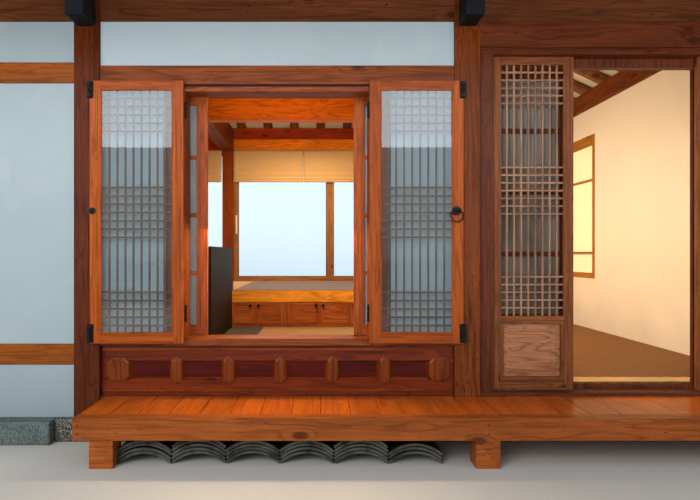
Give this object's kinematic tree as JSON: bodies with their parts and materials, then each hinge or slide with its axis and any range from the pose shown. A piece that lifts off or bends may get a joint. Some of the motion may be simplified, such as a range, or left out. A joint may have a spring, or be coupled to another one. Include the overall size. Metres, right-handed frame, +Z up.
{
  "type": "hanok house",
  "caption": "Small tile-roofed timber house with a raised floor, plastered walls, a lattice window, a lattice sliding door and a narrow front porch.",
  "frame": {"origin": "centre of the outline at ground level, under the middle of the roof", "axes": "+X along the front towards the right seen from outside, +Y from the front to the rear, +Z up"},
  "size_m": [8.9, 6.9, 5.1204],
  "materials": {
    "stone": "rough grey granite",
    "floor_mat": "oiled paper floor with mats",
    "post_wood": "oiled red-brown timber",
    "beam_wood": "dark red-brown timber",
    "rail_wood": "orange-brown timber",
    "roof_wood": "oiled rafters and boards",
    "roof_tile": "dark grey fired clay",
    "gable_wood": "oiled boards",
    "plaster": "white lime plaster",
    "window_wood": "red-brown oiled timber",
    "dado_wood": "dark red glossy oiled timber",
    "leaf_wood": "red-brown oiled timber with lattice",
    "paper": "mulberry paper on lattice",
    "door_wood": "brown oiled timber with lattice",
    "slide_wood": "dark brown timber",
    "glass": "clear glass",
    "iron": "black forged iron",
    "porch_wood": "glossy orange-brown boards",
    "lamp_metal": "matt dark blue-grey paint",
    "dais_wood": "bright orange-brown timber",
    "counter_paint": "satin blue-grey paint",
    "shade_fabric": "tan linen"
  },
  "bodies": {
    "house": {"rafters_front": "roof_wood", "rafters_rear": "roof_wood", "rafters_left_end": "roof_wood", "rafters_right_end": "roof_wood", "roof_front": "roof_tile", "roof_rear": "roof_tile", "roof_left_end": "roof_tile", "roof_right_end": "roof_tile", "ridges": "roof_tile", "gable_left": "gable_wood", "gable_right": "gable_wood", "front_plate": "beam_wood", "rear_plate": "beam_wood", "left_end_plate": "beam_wood", "right_end_plate": "beam_wood", "roof_frame": "beam_wood", "plinth": "stone", "left_front_post_and_rails": "rail_wood", "front_post_b": "post_wood", "front_post_c": "post_wood", "right_front_post": "post_wood", "rear_frame": "post_wood", "left_end_frame": "rail_wood", "right_end_frame": "rail_wood", "end_window": "window_wood", "left_front_wall": "plaster", "window_bay_wall": "plaster", "rear_wall_left": "plaster", "rear_wall_middle": "plaster", "rear_wall_right": "plaster", "left_end_wall": "plaster", "right_end_wall": "plaster", "window_frame": "window_wood", "dado": "dado_wood", "window_leaf_left": "leaf_wood", "window_leaf_right": "leaf_wood", "paper_leaf_left": "paper", "paper_leaf_right": "paper", "door_frame": "door_wood", "lattice_leaf_left": "door_wood", "lattice_leaf_right": "door_wood", "floor_slab": "floor_mat", "porch_frame": "porch_wood", "porch_boards": "porch_wood", "tile_stacks": "roof_tile", "lamp_left": "lamp_metal", "lamp_right": "lamp_metal", "dais": "dais_wood", "counter": "counter_paint", "roman_shades": "shade_fabric", "left_roman_shade": "shade_fabric"},
    "left_sliding_door": {"sliding_leaf_left": "slide_wood"},
    "right_sliding_door": {"sliding_leaf_right": "slide_wood"}
  },
  "joints": [
    {"name": "left_door_slide", "type": "slide", "parent": "house", "child": "left_sliding_door", "axis": [1, 0, 0], "range_m": [0, 0.3945]},
    {"name": "right_door_slide", "type": "slide", "parent": "house", "child": "right_sliding_door", "axis": [-1, 0, 0], "range_m": [0, 0.3945]}
  ]
}
